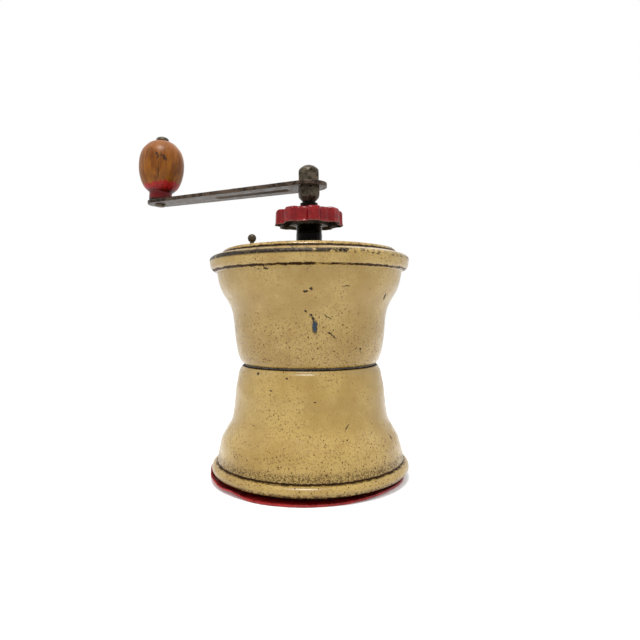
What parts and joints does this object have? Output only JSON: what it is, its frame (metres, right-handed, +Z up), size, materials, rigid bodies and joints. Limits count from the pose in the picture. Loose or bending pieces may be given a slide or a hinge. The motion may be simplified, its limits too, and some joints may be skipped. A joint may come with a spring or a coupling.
{
  "type": "hand coffee mill",
  "caption": "Waisted two-part enamelled hand coffee mill with a side crank, egg-shaped wooden knob, red adjusting wheel, conical burrs, fill door and a catch cup that the hopper lifts off.",
  "frame": {"origin": "centre of the base on the spindle's axis, at the level the mill stands on", "axes": "+Z up along the spindle's axis, -X towards the wooden knob on the crank"},
  "size_m": [0.1742, 0.1102, 0.2036],
  "materials": {
    "enamel": "worn gloss enamel",
    "red_paint": "worn gloss",
    "red_leather": "smooth oilcloth sheen",
    "dark_steel": "aged and pitted",
    "bright_steel": "satin",
    "black_steel": "blackened",
    "cast_iron": "as cast",
    "brass": "satin",
    "wood": "worn varnish"
  },
  "bodies": {
    "catch_cup": {"lower_shell": "enamel", "bottom_disc": "dark_steel", "base_pad": "red_leather"},
    "housing": {"upper_shell": "enamel", "spigot_ring": "dark_steel", "burr_ring": "cast_iron", "burr_screws": "bright_steel", "burr_nuts": "bright_steel", "lower_bridge": "dark_steel", "lower_bush": "brass", "bridge_screws": "bright_steel", "lid": "enamel", "top_bridge": "dark_steel", "bridge_rivets": "bright_steel", "top_bush": "black_steel", "bush_nut": "bright_steel"},
    "door": {"fill_door": "enamel", "door_knob": "dark_steel"},
    "adjuster": {"thrust_washer": "bright_steel"},
    "wheel": {"adjusting_wheel": "red_paint", "wheel_hub": "dark_steel"},
    "crankshaft": {"spindle": "bright_steel", "spring_collar": "bright_steel", "spindle_spring": "bright_steel", "drive_pin": "bright_steel", "inner_burr": "cast_iron", "burr_nut": "bright_steel", "hub_nut": "dark_steel", "crank_arm": "dark_steel", "cap_nut": "dark_steel", "knob_axle": "dark_steel"},
    "grip": {"knob": "wood"}
  },
  "joints": [
    {"name": "upper_lift", "type": "slide", "parent": "catch_cup", "child": "housing", "axis": [0, 0, 1], "range_m": [0, 0.06]},
    {"name": "door_swing", "type": "hinge", "parent": "housing", "child": "door", "pos_m": [0, 0, 0.1232], "axis": [0, 0, 1], "range_deg": [0, 90]},
    {"name": "burr_lift", "type": "slide", "parent": "housing", "child": "adjuster", "axis": [0, 0, 1], "range_m": [-0.001, 0.001], "deforming": ["spindle_spring"]},
    {"name": "adjust_turn", "type": "hinge", "parent": "adjuster", "child": "wheel", "pos_m": [0, 0, 0.143], "axis": [0, 0, 1], "range_deg": [-360, 360]},
    {"name": "crank_turn", "type": "hinge", "parent": "adjuster", "child": "crankshaft", "pos_m": [0, 0, 0.161], "axis": [0, 0, 1], "continuous": true},
    {"name": "knob_spin", "type": "hinge", "parent": "crankshaft", "child": "grip", "pos_m": [-0.106, 0, 0.1627], "axis": [0.0523, 0, 0.9986], "continuous": true}
  ],
  "couplings": [
    {"joint": "adjust_turn", "follows": "burr_lift", "rad_per_m": 6283.2}
  ]
}
